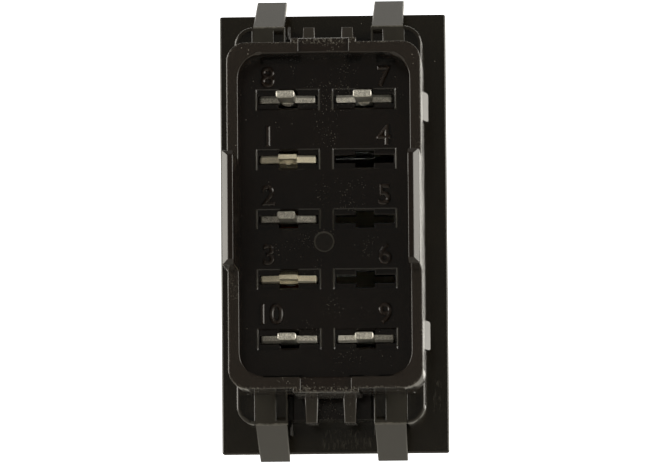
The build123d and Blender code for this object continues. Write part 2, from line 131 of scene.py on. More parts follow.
SILL_INNER = 4.4 * MM
POCKET_HALF = 3.415 * MM  # half the length of a terminal place's pocket
POCKET_EDGE = 1.05 * MM  # half its width
POCKET_DEPTH = 0.5 * MM
MARK = Vector((0.3 * MM, -2.55 * MM))  # middle of the ejector mark, across and up
MARK_RADIUS = 1.1 * MM
BLADE_SIDE = 3.15 * MM  # half the width of a 6.3 mm blade
SHEET_FACE = 0.4 * MM  # half the thickness of a blade
FILLED = (1, 2, 3, 7, 8, 9, 10)  # the places that hold a terminal
BARE = (1, 3)  # the terminals that aren't tinned, which carry the fixed contacts
LAMP_LEADS = (7, 8, 9, 10)

# Real sizes of the patterns on the surfaces
FLOW_MARKS = 4 * MM  # where the melt ran unevenly into the mould
CLOUDS = 3.2 * MM  # patches in which dust and wear gather
SPECK_GAP = 0.9 * MM
SPECK = 0.17 * MM
DUST_GAP = 0.26 * MM  # the finer dust in the base
DUST = 0.13 * MM
SCUFFS = 0.22 * MM  # worn plastic on the base
END_HIGHLIGHT_PATCHES = 0.5 * MM  # patches of painted highlight along the ends of the arms' blocks
STREAKS = 0.35 * MM  # rubbed plastic on the bezel
SHEET_MARKS = 0.16 * MM  # marks of the shear and the roll, drawn as coarse as they need to show
DIE_MARKS = 0.1 * MM  # on drawn wire, coarser than real ones for the same reason
WAXY_PATCHES = 1 * MM
STIPPLE = 1 * MM  # of the roller, on the floor's paint
FINE_BUMP = 0.02 * MM
SOFT_END = 0.2 * MM  # a worn place fades out over this length
LOW_NOISE = 0.3  # nearly all of a noise lies between these two values
HIGH_NOISE = 0.7

# Worn places, seen from behind: between two places across and two up
WALL_RUB = ((-11.5 * MM, -10.5 * MM), (-16 * MM, 7 * MM))
LEFT_RIM_RUB = ((9.4 * MM, 10.9 * MM), (-9.4 * MM, -6.4 * MM))
RIGHT_RIM_RUB = ((-10.8 * MM, -9.4 * MM), (6.4 * MM, 8.6 * MM))
SIDE_BEZEL_RUB = ((-12.3 * MM, -11.1 * MM), (-20.6 * MM, -16.8 * MM))
LOW_BEZEL_RUB = ((-4.2 * MM, 1.8 * MM), (-24.8 * MM, -22.4 * MM))
# Where the painted highlight lies along the ends of the arms' blocks, at the wings' edges
BLOCK_ENDS = (SKIRT_END - 0.22 * MM, SKIRT_END + 0.18 * MM)  # from the middle, up and down alike

# Angles between faces, and the width that tells the facets of a curved surface from flat faces
KEPT_SHARP = math.radians(35)  # edges of more than this stay sharp
ROUNDED = math.radians(30)  # edges of less than this aren't rounded
FLAT = math.radians(1)
FACET = 1.2 * MM

STUDIO_WHITE = "#fffbf1"  # of the soft boxes and the surroundings, a little warm


# ---------------------------------------------------------------- colours and nodes
def linear(code):
    """An sRGB hex colour as linear red, green and blue."""
    parts = [int(code[i : i + 2], 16) / 255 for i in (1, 3, 5)]
    return tuple(c / 12.92 if c <= 0.04045 else ((c + 0.055) / 1.055) ** 2.4 for c in parts)


def rgba(colour, level=1.0):
    """A linear colour with its alpha, made darker or paler by level."""
    return (*(level * part for part in colour), 1.0)


def feed(node, *inputs, **named):
    """Gives a node its inputs, in order or by name, and its attributes. A socket is linked."""
    for key, value in (*enumerate(inputs), *named.items()):
        if isinstance(key, str) and hasattr(node, key):
            setattr(node, key, value)
            continue
        socket = node.inputs[key if isinstance(key, int) else key.replace("_", " ")]
        if isinstance(value, NodeSocket):
            node.id_data.links.new(value, socket)
        else:
            socket.default_value = value


def new_node(tree, kind, *inputs, **named):
    """Adds a shader node with its settings and links, and returns its first output."""
    node = tree.nodes.new(f"ShaderNode{kind}")
    feed(node, *inputs, **named)
    return node.outputs[0]


def new_material(name):
    """A node material: itself, what adds a node to it, its shader and the object coordinates."""
    material = bpy.data.materials.new(name)
    material.use_nodes = True
    tree = material.node_tree
    add = partial(new_node, tree)
    return material, add, tree.nodes["Principled BSDF"], add("TexCoord").node.outputs["Object"]


# ---------------------------------------------------------------- settings
class SwitchPlastics(PropertyGroup):
    base_black: FloatVectorProperty(
        name="Black polyester",
        description="Colour of the moulded base",
        subtype="COLOR",
        size=3,
        default=linear("#140d08"),
    )
    bracket_black: FloatVectorProperty(
        name="Black nylon",
        description="Colour of the moulded bracket",
        subtype="COLOR",
        size=3,
        default=linear("#17140e"),
    )
    cover_black: FloatVectorProperty(
        name="Black polycarbonate",
        description="Colour of the moulded rocker cover",
        subtype="COLOR",
        size=3,
        default=linear("#191817"),
    )
    # Also the colour of the painted highlights at the pocket ends and along the arms' block ends
    dust_and_highlight: FloatVectorProperty(
        name="Dust",
        description="Colour of the dust and scuffs on the black mouldings",
        subtype="COLOR",
        size=3,
        default=linear("#66635b"),
    )
    grain: FloatProperty(
        name="Grain",
        description="Spacing of the spark-eroded grain of the mould",
        unit="LENGTH",
        default=0.16 * MM,
    )


class SwitchEdges(PropertyGroup):
    rim: FloatProperty(
        name="Rim",
        description="Edge radius of the base's rim",
        unit="LENGTH",
        default=0.2 * MM,
    )
    ear: FloatProperty(
        name="Ears",
        description="Edge radius of the base's ears",
        unit="LENGTH",
        default=0.1 * MM,
    )
    lug: FloatProperty(
        name="Lugs",
        description="Edge radius of the base's lugs",
        unit="LENGTH",
        default=0.2 * MM,
    )
    rib: FloatProperty(
        name="Ribs",
        description="Edge radius of the ribs outside the base",
        unit="LENGTH",
        default=0.12 * MM,
    )
    pocket: FloatProperty(
        name="Terminal places",
        description="Chamfer at the ends of the pockets in the floor",
        unit="LENGTH",
        default=0.12 * MM,
    )
    keyhole: FloatProperty(
        name="Keyholes",
        description="Edge radius of the slits and keyholes through the floor",
        unit="LENGTH",
        default=0.09 * MM,
    )
    skirt: FloatProperty(
        name="Skirt",
        description="Edge radius of the bracket's skirt",
        unit="LENGTH",
        default=0.2 * MM,
    )
    wing: FloatProperty(
        name="Wings",
        description="Edge radius of the wings' outer faces",
        unit="LENGTH",
        default=0.12 * MM,
    )
    arm: FloatProperty(
        name="Arms",
        description="Chamfer along the blocks and grooves on the bracket's arms",
        unit="LENGTH",
        default=0.13 * MM,
    )
    bezel: FloatProperty(
        name="Bezel",
        description="Edge radius of the bezel",
        unit="LENGTH",
        default=0.2 * MM,
    )
    curb: FloatProperty(
        name="Curbs",
        description="Edge radius of the thin walls beside the wings",
        unit="LENGTH",
        default=0.1 * MM,
    )
    mark: FloatProperty(
        name="Ejector mark",
        description="Edge radius of the round mark that the mould's ejector left in the floor",
        unit="LENGTH",
        default=0.095 * MM,
    )
    blade: FloatProperty(
        name="Blades",
        description="Edge radius that stamping and coining leave on the blades",
        unit="LENGTH",
        default=0.2 * MM,
    )


class SwitchNumbers(PropertyGroup):
    height: FloatProperty(
        name="Height",
        description="Height of a figure",
        unit="LENGTH",
        default=2.25 * MM,
    )
    stroke: FloatProperty(
        name="Stroke",
        description="Width of the slope on each side of a stroke",
        unit="LENGTH",
        default=0.18 * MM,
    )
    rise: FloatProperty(
        name="Rise",
        description="How far the figures stand up from the floor",
        unit="LENGTH",
        default=0.27 * MM,
    )
    above_row: FloatProperty(
        name="Above the row",
        description="From the middle of a terminal place up to the middle of its number",
        unit="LENGTH",
        default=2.55 * MM,
    )
    outward: FloatProperty(
        name="Outward",
        description="From the middle of a column out to the middle of its numbers",
        unit="LENGTH",
        default=2.2 * MM,
    )


class SwitchMetals(PropertyGroup):
    tin: FloatVectorProperty(
        name="Tin plate",
        description="Colour of the tinned blades",
        subtype="COLOR",
        size=3,
        default=linear("#efece2"),
    )
    brass: FloatVectorProperty(
        name="Brass",
        description="Colour of the bare brass blades",
        subtype="COLOR",
        size=3,
        default=linear("#fff8e3"),
    )
    steel: FloatVectorProperty(
        name="Spring steel",
        description="Colour of the spring's wire",
        subtype="COLOR",
        size=3,
        default=linear("#a9a7a2"),
    )
    # Darkened as painted shade: the moving contact lies in the shade inside the base
    copper: FloatVectorProperty(
        name="Copper",
        description="Colour of the tarnished moving contact",
        subtype="COLOR",
        size=3,
        default=linear("#8a5138"),
    )
    silver: FloatVectorProperty(
        name="Silver",
        description="Colour of the contact buttons",
        subtype="COLOR",
        size=3,
        default=linear("#d9d8d4"),
    )


class SwitchStage(PropertyGroup):
    distance: FloatProperty(
        name="Camera distance",
        description="From the rim of the base to the camera",
        unit="LENGTH",
        default=613.9 * MM,
    )
    aim: FloatVectorProperty(
        name="Aim",
        description="What the camera looks at, across and up from the middle of the rim",
        unit="LENGTH",
        size=2,
        default=(-1.143 * MM, -1.957 * MM),
    )
    azimuth: FloatProperty(
        name="Azimuth",
        description="Where the camera stands round the switch",
        subtype="ANGLE",
        default=math.radians(182.178),
    )
    elevation: FloatProperty(
        name="Elevation",
        description="How far the camera stands above the middle",
        subtype="ANGLE",
        default=math.radians(-4.63),
    )
    roll: FloatProperty(
        name="Roll",
        description="Turn of the camera about its line of sight",
        subtype="ANGLE",
        default=math.radians(-0.453),
    )
    lens: FloatProperty(
        name="Lens",
        description="Focal length on a 36 mm wide sensor",
        default=300.4,
    )
    side_lamps: FloatProperty(
        name="Side lamps",
        description="Power of each soft box",
        default=9.2,
    )
    far_level: FloatProperty(
        name="Far side",
        description="Brightness of the surroundings that the rocker faces",
        default=0.5,
    )
    backdrop_level: FloatProperty(
        name="Backdrop",
        description="Brightness of the white backdrop straight behind the switch",
        default=1.85,
    )
    near_level: FloatProperty(
        name="Near side",
        description="Brightness of the surroundings that the terminals face",
        default=0.165,
    )
    floor_drop: FloatProperty(
        name="Floor",
        description="Depth of the floor below the switch's middle",
        unit="LENGTH",
        default=75 * MM,
    )


def settings(group):
    """One of the scene's groups of settings, such as plastics or edges."""
    return getattr(bpy.context.scene, f"switch_{group}")


# ---------------------------------------------------------------- materials
def axes(add, coords):
    """A point's three coordinates, and how far it is from the middle across and up."""
    x, y, z = add("SeparateXYZ", coords).node.outputs
    off_x, off_z = (add("Math", axis, operation="ABSOLUTE") for axis in (x, z))
    return SimpleNamespace(x=x, y=y, z=z, off_x=off_x, off_z=off_z)


def off(add, value, place):
    """How far a value is from a place, either way."""
    return add("Math", add("Math", value, place, operation="SUBTRACT"), operation="ABSOLUTE")


def off_row(add, up):
    """How far up or down it is to the middle of the nearest row of terminal places."""
    wave = add("Math", up, ROW, operation="PINGPONG")
    return add("Math", wave, add("Math", ROW, wave, operation="SUBTRACT"), operation="MINIMUM")


def between(add, value, low, high):
    """High where a value lies between low and high, with soft ends."""
    rising = add("MapRange", value, low, low + SOFT_END)
    falling = add("MapRange", value, high, high - SOFT_END)
    return add("Math", rising, falling, operation="MULTIPLY")


def patch(add, at, place, strength):
    """Worn plastic in a rectangle that is given by two places across and two up."""
    across, up = place
    inside = add("Math", between(add, at.x, *across), between(add, at.z, *up), operation="MULTIPLY")
    return add("Math", inside, strength, operation="MULTIPLY")


def clouds(add, coords):
    """Broad clouds, in which dust and wear gather."""
    return add("TexNoise", coords, Scale=1 / CLOUDS, Detail=3, Roughness=0.65)


def specks(add, coords, spacing, size, gathered):
    """Separate specks, at most size metres wide, where the gathered value is high."""
    away = add("TexVoronoi", coords, Scale=1 / spacing)
    near = add("MapRange", away, size / spacing / 2, size / spacing / 4)
    return add("Math", near, gathered, operation="MULTIPLY")


def moulded_plastic(name, colour, roughness, dusty, wear_and_highlights=None):
    """Injection-moulded black plastic: a faint spark-eroded grain breaks up its shine, with dust on it.

    The higher dusty is, the more dust there is. The last argument, a function, adds the worn places and any
    painted highlights.
    """
    plastics = settings("plastics")
    material, add, shader, coords = new_material(name)
    grain = add("TexNoise", coords, Scale=1 / plastics.grain, Detail=2, Roughness=0.6)
    flow = add("TexNoise", coords, Scale=1 / FLOW_MARKS, Detail=3, Roughness=0.6)
    rough = add("MapRange", flow, LOW_NOISE, HIGH_NOISE, roughness - 0.04, roughness + 0.06)
    gathered = add("MapRange", clouds(add, coords), 1 - dusty, 1.05 - dusty)
    dust_and_highlight = specks(add, coords, SPECK_GAP, SPECK, gathered)
    if wear_and_highlights:
        dust_and_highlight = add("Math", dust_and_highlight, wear_and_highlights(add, coords), operation="MAXIMUM")
    # Pale where there is dust or wear, and where a highlight is painted
    tone = add("MixRGB", dust_and_highlight, rgba(colour), rgba(plastics.dust_and_highlight))
    dull = add("Math", rough, dust_and_highlight, operation="MAXIMUM")
    bump = add("Bump", Height=grain, Strength=0.15, Distance=FINE_BUMP)
    feed(shader, Base_Color=tone, Roughness=dull, Normal=bump)
    return material


def column_dust(add, coords, at):
    """Fine dust, which lies mostly between the two columns of terminals."""
    more = 0.06  # that much more in the middle, and as much less at the sides
    nearer = add("MapRange", at.off_x, 2 * MM, 7 * MM, more, -more)
    gathered = add("Math", clouds(add, coords), nearer, operation="ADD")
    return specks(add, coords, DUST_GAP, DUST, add("MapRange", gathered, 0.58, 0.7))


def ejector_mark(add, coords):
    """The matt disc that the mould's ejector left, brightest in a ring just inside its edge."""
    matt = 0.09
    brighter = 6.0  # how many times as bright the ring is
    middle = (MARK.x, FLOOR, MARK.y)
    away = add("VectorMath", coords, middle, operation="DISTANCE").node.outputs["Value"]
    disc = add("MapRange", away, MARK_RADIUS + 0.08 * MM, MARK_RADIUS + 0.02 * MM, 0.0, matt)
    ring = add("MapRange", away, MARK_RADIUS - 0.16 * MM, MARK_RADIUS - 0.06 * MM, 1.0, brighter)
    return add("Math", disc, ring, operation="MULTIPLY")


def rib_film(add, at):
    """A thin film on the rear of the ribs outside the collar."""
    film = 0.16
    ribs = add("Math", between(add, at.off_z, COLLAR_END, SKIRT_END), film, operation="MULTIPLY")
    behind = add("MapRange", at.y, SKIRT_REAR - 0.4 * MM, SKIRT_REAR - 0.1 * MM)
    before = add("MapRange", at.y, SKIRT_REAR + 0.2 * MM, SKIRT_REAR + 0.1 * MM)
    return add("Math", ribs, add("Math", behind, before, operation="MULTIPLY"), operation="MULTIPLY")


def pocket_end_highlights(add, at):
    """Painted highlight in pale plastic at both ends of each terminal place's pocket, on the floor and its
    chamfer.
    """
    wear_and_highlight = 0.6
    off_column = off(add, at.off_x, COLUMN)
    ends = between(add, off_column, POCKET_HALF - 0.1 * MM, POCKET_HALF + 0.25 * MM)
    beside = add("MapRange", off_row(add, at.z), POCKET_EDGE + 0.1 * MM, POCKET_EDGE - 0.05 * MM, 0.0, wear_and_highlight)
    on_floor = add("MapRange", off(add, at.y, FLOOR), 0.3 * MM, 0.2 * MM)
    return add("Math", ends, add("Math", beside, on_floor, operation="MULTIPLY"), operation="MULTIPLY")


def rim_wear(add, coords, at, off_rim):
    """Worn plastic along the rim's outer edge, in two places on the rim and on the right-hand wall."""
    squares = []
    strongest = 0.7
    for away, half in ((at.off_x, COLLAR_SIDE), (at.off_z, COLLAR_END)):
        beyond = add("Math", away, half - COLLAR_CORNER, operation="SUBTRACT")
        beyond = add("Math", beyond, 0.0, operation="MAXIMUM")
        squares.append(add("Math", beyond, 2.0, operation="POWER"))
    distance = add("Math", add("Math", *squares, operation="ADD"), operation="SQRT")
    outer = add("MapRange", distance, COLLAR_CORNER - 0.3 * MM, COLLAR_CORNER - 0.05 * MM)
    edge = add("Math", outer, add("MapRange", off_rim, 0.5 * MM, 0.3 * MM), operation="MULTIPLY")
    islands = add("MapRange", clouds(add, coords), 0.44, 0.6)
    behind = add("MapRange", at.y, RIM - 5 * MM, RIM - 1 * MM, 0.15, 0.9)
    on_rim = add("MapRange", off_rim, 1.2 * MM, 0.8 * MM)
    for place, shown, strength in (
        (WALL_RUB, islands, behind),
        (LEFT_RIM_RUB, on_rim, 0.35),
        (RIGHT_RIM_RUB, on_rim, 0.3),
    ):
        rub = patch(add, at, place, add("Math", shown, strength, operation="MULTIPLY"))
        edge = add("Math", edge, rub, operation="MAXIMUM")
    scuffs = add("TexNoise", coords, Scale=1 / SCUFFS, Detail=3, Roughness=0.7)
    return add("Math", edge, add("MapRange", scuffs, 0.5, 0.66, 0.0, strongest), operation="MULTIPLY")


def base_wear_and_highlights(add, coords):
    """The base's dust, films and worn places, its ejector mark and the painted highlights at the pocket ends,
    whichever is the strongest.
    """
    film = 0.05
    at = axes(add, coords)
    off_rim = off(add, at.y, RIM)
    wear_and_highlight = add("MapRange", off_rim, 0.3 * MM, 0.1 * MM, 0.0, film)
    for place in (
        column_dust(add, coords, at),
        ejector_mark(add, coords),
        rib_film(add, at),
        pocket_end_highlights(add, at),
        rim_wear(add, coords, at, off_rim),
    ):
        wear_and_highlight = add("Math", wear_and_highlight, place, operation="MAXIMUM")
    return wear_and_highlight


def bracket_wear_and_highlights(add, coords):
    """A film on the arms, a painted highlight in patches along their blocks' ends, and rubbed places on the
    back of the bezel.
    """
    film = 0.11
    at = axes(add, coords)
    rear = add("MapRange", at.y, SKIRT_REAR - 0.3 * MM, SKIRT_REAR - 0.2 * MM)
    arm = add("Math", rear, between(add, at.off_x, ARM_INNER - SOFT_END, ARM_OUTER), operation="MULTIPLY")
    filmed = add("Math", between(add, at.off_z, COLLAR_END - SOFT_END, SKIRT_END), film, operation="MULTIPLY")
    # Painted highlight along the blocks' ends, where the wings fall away, broken into patches
    highlight_patches = add("TexNoise", coords, Scale=1 / END_HIGHLIGHT_PATCHES, Detail=3, Roughness=0.7)
    highlight_patches = add("MapRange", highlight_patches, 0.35, 0.65, 0.3, 0.9)
    white = add("Math", between(add, at.off_z, *BLOCK_ENDS), highlight_patches, operation="MULTIPLY")
    wear_and_highlight = add("Math", arm, add("Math", filmed, white, operation="MAXIMUM"), operation="MULTIPLY")
    drawn_up = add("Mapping", coords, Scale=(1, 1, 0.3))
    streaks = add("TexNoise", drawn_up, Scale=1 / STREAKS, Detail=3, Roughness=0.7)
    streaks = add("MapRange", streaks, 0.5, 0.7)
    for place, strength in ((SIDE_BEZEL_RUB, 0.3), (LOW_BEZEL_RUB, 0.25)):
        rub = add("Math", patch(add, at, place, strength), streaks, operation="MULTIPLY")
        wear_and_highlight = add("Math", wear_and_highlight, rub, operation="MAXIMUM")
    return wear_and_highlight


def keyhole_shade(add, coords):
    """High along both faces of the sheet at a blade's shoulders, where the blade goes down into the floor's
    shade: painted shade there.
    """
    darkest_shade = 0.8
    at = axes(add, coords)
    faces = add("MapRange", off_row(add, at.z), SHEET_FACE - 0.13 * MM, SHEET_FACE - 0.04 * MM, 0.0, darkest_shade)
    shoulders = between(add, at.y, FLOOR - 0.5 * MM, FLOOR + 0.4 * MM)
    return add("Math", faces, shoulders, operation="MULTIPLY")


def sheet_metal(name, colour, roughness, evenness=0.72, painted_shade=None):
    """Stamped sheet metal: the fine marks of the shear and the roll make its shine uneven.

    Its darkest marks have the share evenness of its colour. The last argument, a function, finds where shade
    is painted on it.
    """
    material, add, shader, coords = new_material(name)
    marks = add("TexNoise", coords, Scale=1 / SHEET_MARKS, Detail=3, Roughness=0.75)
    rough = add("MapRange", marks, LOW_NOISE, HIGH_NOISE, roughness - 0.1, roughness + 0.12)
    shade = add("MapRange", marks, 0.35, 0.65)
    tone = add("MixRGB", shade, rgba(colour, evenness), rgba(colour))
    # Painted shade: where the given function is high, the colour falls to 0.15 of itself
    if painted_shade:
        tone = add("MixRGB", painted_shade(add, coords), tone, rgba(colour, 0.15))
    bump = add("Bump", Height=marks, Strength=0.3, Distance=FINE_BUMP)
    feed(shader, Base_Color=tone, Metallic=1.0, Roughness=rough, Normal=bump)
    return material


def drawn_wire(name, colour):
    """Cold-drawn steel wire: a smooth, evenly grey shine with faint marks of the die."""
    material, add, shader, coords = new_material(name)
    marks = add("TexNoise", coords, Scale=1 / DIE_MARKS, Detail=2, Roughness=0.5)
    rough = add("MapRange", marks, LOW_NOISE, HIGH_NOISE, 0.25, 0.4)
    feed(shader, Base_Color=rgba(colour), Metallic=1.0, Roughness=rough)
    return material


def natural_nylon(name):
    """Uncoloured nylon, moulded: milky and slightly waxy, because light spreads inside it."""
    material, add, shader, coords = new_material(name)
    patches = add("TexNoise", coords, Scale=1 / WAXY_PATCHES, Detail=2, Roughness=0.5)
    rough = add("MapRange", patches, LOW_NOISE, HIGH_NOISE, 0.35, 0.5)
    feed(
        shader,
        Base_Color=rgba(linear("#dcd6c4")),
        Roughness=rough,
        Subsurface_Weight=0.3,
        Subsurface_Radius=(1, 0.9, 0.7),
        Subsurface_Scale=0.5 * MM,
    )
    return material


def clear_plastic(name, colour, grain):
    """Clear moulded plastic: it lets light through, softened by a fine pebbled grain."""
    material, add, shader, coords = new_material(name)
    pebbles = add("TexNoise", coords, Scale=1 / grain, Detail=1, Roughness=0.5)
    rough = add("MapRange", pebbles, LOW_NOISE, HIGH_NOISE, 0.1, 0.25)
    bump = add("Bump", Height=pebbles, Strength=0.3, Distance=0.03 * MM)
    feed(shader, Base_Color=rgba(colour), Roughness=rough, Normal=bump, Transmission_Weight=0.9)
    return material


def rolled_paint(name):
    """Pale wall paint, put on with a roller: flat, with a faint stipple that keeps its light even."""
    material, add, shader, coords = new_material(name)
    stipple = add("TexNoise", coords, Scale=1 / STIPPLE, Detail=2, Roughness=0.5)
    bump = add("Bump", Height=stipple, Strength=0.05, Distance=0.1 * MM)
    feed(shader, Base_Color=rgba(linear("#c6c4be")), Roughness=0.7, Normal=bump)
    return material


# ---------------------------------------------------------------- shaping
def curved(face):
    """Whether a face is one facet of a curved surface: narrow, with a neighbour at a small angle."""
    width = face.calc_area() / max(e.calc_length() for e in face.edges)
    return width < FACET and any(FLAT < e.calc_face_angle(0) < KEPT_SHARP for e in face.edges)


def plane(face):
    """From a fixed point off the object straight to a face's plane, which tells planes apart."""
    aside = Vector((21 * MM, 62 * MM, 47 * MM))
    return face.normal * face.normal.dot(face.calc_center_median() - aside)


def merged(node):
    """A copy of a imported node's loose triangles, merged into one surface."""
    bm = bmesh.new()
    bm.from_mesh(NODES[node].data)
    bmesh.ops.remove_doubles(bm, verts=bm.verts, dist=0.1 * TINY)
    return bm


def joined(node):
    """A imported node's shape as one surface, with flat faces joined and only curved ones smooth."""
    bm = merged(node)
    bmesh.ops.dissolve_limit(
        bm,
        angle_limit=math.radians(0.5),
        use_dissolve_boundaries=False,
        verts=bm.verts,
        edges=bm.edges,
    )
    for face in bm.faces:
        face.smooth = curved(face)
    return bm


def soften(bm, radius, keep, segments=3):
    """Rounds the outer edges for which keep is true of both ends. One segment makes a chamfer."""
    sharp = [
        e
        for e in bm.edges
        if len(e.link_faces) == 2
        and e.is_convex
        and e.calc_face_angle(0) > ROUNDED
        and all(keep(v.co) for v in e.verts)
    ]
    flat_faces = [face for face in bm.faces if not face.smooth]
    flats = KDTree(len(flat_faces))
    for number, face in enumerate(flat_faces):
        flats.insert(plane(face), number)
    flats.balance()
    bmesh.ops.bevel(
        bm,
        geom=sharp,
        offset=radius,
        offset_type="OFFSET",
        segments=segments,
        affect="EDGES",
        profile=0.5,
        material=-1,
        clamp_overlap=False,
    )
    bm.normal_update()
    # A face that lies in none of the flat faces' planes is curved
    for face in bm.faces:
        face.smooth = flats.find(plane(face))[2] > 5 * TINY


def level(co, height):
    """Whether a point lies so far behind the bezel."""
    return abs(co.y - height) < TINY


def lean(bm, height, size, middle, half, outwards=1):
    """Lays back the chamfers beside a line, half each way from a middle, to face mostly backwards.

    A chamfer beside a hole only cuts down into its wall, so its upper edge is moved as well.
    """
    for vertex in bm.verts:
        co = vertex.co
        beyond = abs(co.x) - middle
        if abs(abs(beyond) - half) > TINY:
            continue
        if level(co, height - size):
            co.y += size / 2
        elif level(co, height):
            co.x += outwards * math.copysign(size, co.x * beyond)


def on_outline(co):
    """Whether a point lies on the outline of the skirt, seen from behind."""
    across = max(abs(co.x) - (SKIRT_SIDE - SKIRT_CORNER), 0)
    along = max(abs(co.z) - (SKIRT_END - SKIRT_CORNER), 0)
    return abs(math.hypot(across, along) - SKIRT_CORNER) < 2 * TINY


def on_wing(co):
    """Whether a point lies on the outer face of a wing, which falls away from the end of the skirt."""
    return abs(SKIRT_REAR - co.y - WING_SLOPE * (abs(co.z) - SKIRT_END)) < 3 * TINY


def on_rib(co):
    """Whether a point lies on the rear of a rib outside the collar."""
    return level(co, SKIRT_REAR) and abs(co.z) > RIBS_FROM and abs(co.x) < RIBS_SIDE


def on_mark(co):
    """Whether a point lies on the floor at the edge of the ejector mark."""
    return level(co, FLOOR) and (Vector((co.x, co.z)) - MARK).length < MARK_RADIUS + 0.1 * MM


def on_pocket_end(co):
    """Whether a point lies on the floor at an end of a terminal place's pocket."""
    return level(co, FLOOR) and abs(abs(abs(co.x) - COLUMN) - POCKET_HALF) < TINY


def in_pocket(co):
    """Whether a point lies on the bottom of a terminal place's pocket."""
    return level(co, FLOOR - POCKET_DEPTH) and abs(co.z) < 2 * ROW + 2 * POCKET_EDGE


def finished(bm, name):
    """A linked object from a bmesh, with its sharper edges kept sharp."""
    for edge in bm.edges:
        edge.smooth = edge.calc_face_angle(0) < KEPT_SHARP
    mesh = bpy.data.meshes.new(name)
    bm.to_mesh(mesh)
    bm.free()
    piece = bpy.data.objects.new(name, mesh)
    bpy.context.scene.collection.objects.link(piece)
    return piece


def clothe(piece, material):
    """Gives a piece its one material."""
    piece.data.materials.clear()
    piece.data.materials.append(material)


def stand_in(piece, node, material):
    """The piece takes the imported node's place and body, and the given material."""
    clothe(piece, material)
    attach(piece, body_of(NODES[node])[0])
    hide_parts(node)


def figure(text, middle, up):
    """A raised figure on the floor, read from behind, as a mesh."""
    numbers = settings("numbers")
    figure_height = 0.73  # of the built-in font, at a size of one
    curve = bpy.data.curves.new("figure", "FONT")
    curve.body = text
    curve.size = numbers.height / figure_height
    curve.align_x = "CENTER"
    curve.align_y = "CENTER"
    curve.extrude = 0.02 * MM
    curve.offset = -0.06 * MM
    curve.bevel_depth = numbers.stroke
    curve.bevel_resolution = 1
    holder = bpy.data.objects.new("figure", curve)
    bpy.context.scene.collection.objects.link(holder)
    bpy.context.view_layer.update()
    mesh = bpy.data.meshes.new_from_object(holder.evaluated_get(bpy.context.evaluated_depsgraph_get()))
    bpy.data.objects.remove(holder)
    rise = numbers.rise / max(v.co.z for v in mesh.vertices)
    mesh.transform(Matrix(((-1, 0, 0, middle), (0, 0, rise, FLOOR), (0, 1, 0, up), (0, 0, 0, 1))))
    return mesh


# ---------------------------------------------------------------- operators
class SWITCH_OT_bracket(Operator):
    """Bezel, skirt and wings as one nylon moulding"""

    bl_idname = "switch.bracket"
    bl_label = "Bracket"

    def execute(self, context):
        edges = settings("edges")
        flank = SKIRT_SIDE - SKIRT_CORNER - TINY
        bezel_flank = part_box("bracket")[1].x - 1 * MM
        bm = joined("bracket")
        for vertex in bm.verts:
            if level(vertex.co, SKIRT_REAR - PACKED_GROOVE):
                vertex.co.y = SKIRT_REAR - GROOVE_DEPTH
        soften(
            bm,
            edges.skirt,
            lambda co: level(co, SKIRT_REAR) and on_outline(co) and abs(co.x) > flank,
        )
        soften(bm, edges.wing, lambda co: on_wing(co) and ARM_INNER + TINY < abs(co.x) < flank)
        for line, outwards in ((ARM_INNER, 1), (ARM_BLOCK, 1), (ARM_OUTER, -1)):
            soften(bm, edges.arm, lambda co: level(co, SKIRT_REAR) and abs(abs(co.x) - line) < TINY, 1)
            lean(bm, SKIRT_REAR, edges.arm, 0, line, outwards)
        soften(bm, edges.curb, lambda co: level(co, CURB_TOP) and abs(co.x) < CURB_SIDE)
        soften(bm, edges.bezel, lambda co: level(co, 0) and abs(co.x) > bezel_flank)
        piece = finished(bm, "bracket_moulding")
        black = settings("plastics").bracket_black
        nylon = moulded_plastic(
            "moulded_black_nylon",
            black,
            roughness=0.16,
            dusty=0.4,
            wear_and_highlights=bracket_wear_and_highlights,
        )
        stand_in(piece, "bracket", nylon)
        return {"FINISHED"}


